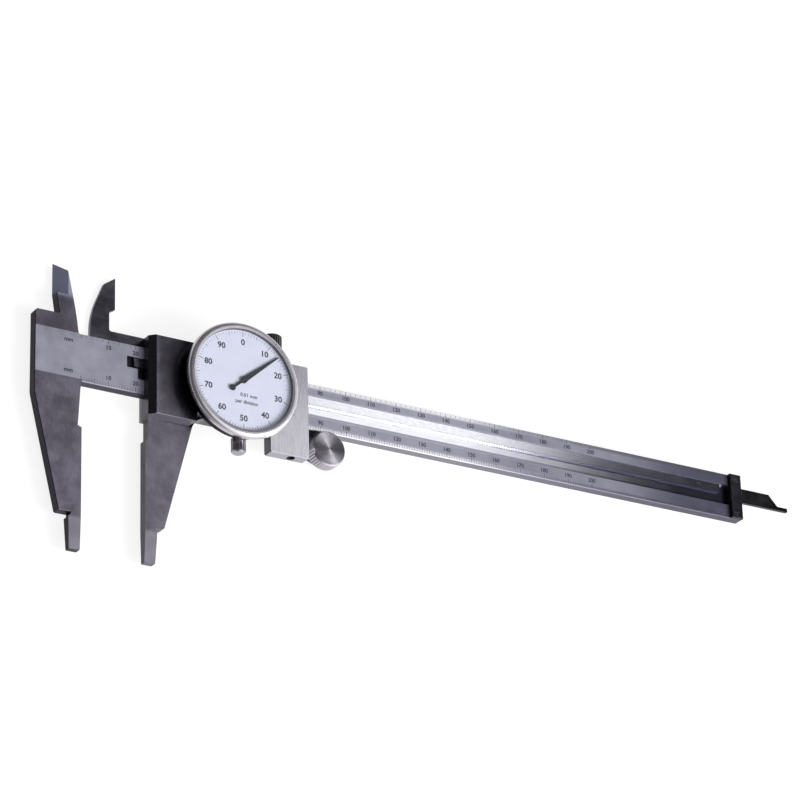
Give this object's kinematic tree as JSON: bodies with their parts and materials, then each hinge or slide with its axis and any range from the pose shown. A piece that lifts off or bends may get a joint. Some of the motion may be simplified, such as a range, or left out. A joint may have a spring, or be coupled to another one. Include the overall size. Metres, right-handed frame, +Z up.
{
  "type": "dial caliper",
  "caption": "Dial caliper for outside, inside and depth measurement: a sliding jaw drives a pointer over a round dial through a rack and gears",
  "frame": {"origin": "on the resting plane, under the dial's axis and on the beam's centreline", "axes": "X along the beam from the fixed jaw to the depth rod's tip, Y across the beam towards the inside jaws, Z up out of the dial"},
  "size_m": [0.3042, 0.1007, 0.0165],
  "materials": {
    "satin_steel": "satin ground stainless steel",
    "jaw_steel": "ground hardened stainless steel, darker",
    "plate_steel": "sheet stainless steel, satin",
    "rack_steel": "plain milled steel",
    "polished_steel": "polished bright steel",
    "black_steel": "blackened steel",
    "brass": "plain machined brass",
    "dial_white": "matt white lacquer with printed black scale",
    "pointer_black": "satin black lacquer",
    "clear": "clear watch crystal"
  },
  "bodies": {
    "beam": {"beam_and_fixed_jaws": "jaw_steel", "rack": "rack_steel", "rack_screws": "rack_steel", "end_stop": "black_steel", "end_stop_screws": "polished_steel"},
    "slider": {"slider_frame": "satin_steel", "back_plate": "plate_steel", "back_plate_screws": "polished_steel", "gib_strip": "brass", "gib_screws": "black_steel", "depth_rod": "plate_steel", "depth_rod_screws": "polished_steel", "roller_axle": "polished_steel", "dial_case": "black_steel", "case_screws": "polished_steel", "movement_plate": "brass", "bridge_pillars": "brass", "bridge_plate": "brass", "bridge_screws": "polished_steel", "arbor_bush": "brass"},
    "rack_arbor": {"rack_pinion": "rack_steel", "main_gear": "brass", "anti_backlash_gear": "brass", "backlash_spring": "polished_steel"},
    "pointer_staff": {"centre_pinion": "rack_steel", "pointer": "pointer_black"},
    "bezel": {"bezel_ring": "polished_steel", "dial_face": "dial_white", "spacer_ring": "dial_white", "crystal": "clear"},
    "roller": {"thumb_roller": "satin_steel"},
    "lock_knob": {"lock_screw": "polished_steel"},
    "clamp_knob": {"bezel_clamp_screw": "polished_steel"}
  },
  "joints": [
    {"name": "slider_slide", "type": "slide", "parent": "beam", "child": "slider", "axis": [1, 0, 0], "range_m": [-0.02314, 0.17686]},
    {"name": "arbor_turn", "type": "hinge", "parent": "slider", "child": "rack_arbor", "pos_m": [-0.008, -0.0007, 0.0126], "axis": [0, 0, 1], "range_deg": [-840, 6380]},
    {"name": "pointer_turn", "type": "hinge", "parent": "slider", "child": "pointer_staff", "pos_m": [0, -0.0007, 0.0126], "axis": [0, 0, 1], "range_deg": [-63800, 8400]},
    {"name": "roller_turn", "type": "hinge", "parent": "slider", "child": "roller", "pos_m": [0.0371, -0.01494, 0.00465], "axis": [0, 0, 1], "range_deg": [-215, 1590]},
    {"name": "bezel_turn", "type": "hinge", "parent": "slider", "child": "bezel", "pos_m": [0, -0.0007, 0.015], "axis": [0, 0, 1], "continuous": true},
    {"name": "lock_screw_turn", "type": "hinge", "parent": "slider", "child": "lock_knob", "pos_m": [0.0175, 0.0118, 0.00335], "axis": [0, 1, 0], "range_deg": [-90, 540]},
    {"name": "bezel_clamp_turn", "type": "hinge", "parent": "slider", "child": "clamp_knob", "pos_m": [0, -0.0216, 0.0111], "axis": [0, -1, 0], "range_deg": [-90, 540]}
  ],
  "couplings": [
    {"joint": "arbor_turn", "follows": "slider_slide", "rad_per_m": 628.32},
    {"joint": "pointer_turn", "follows": "slider_slide", "rad_per_m": -6283.2},
    {"joint": "roller_turn", "follows": "slider_slide", "rad_per_m": 156.25}
  ]
}
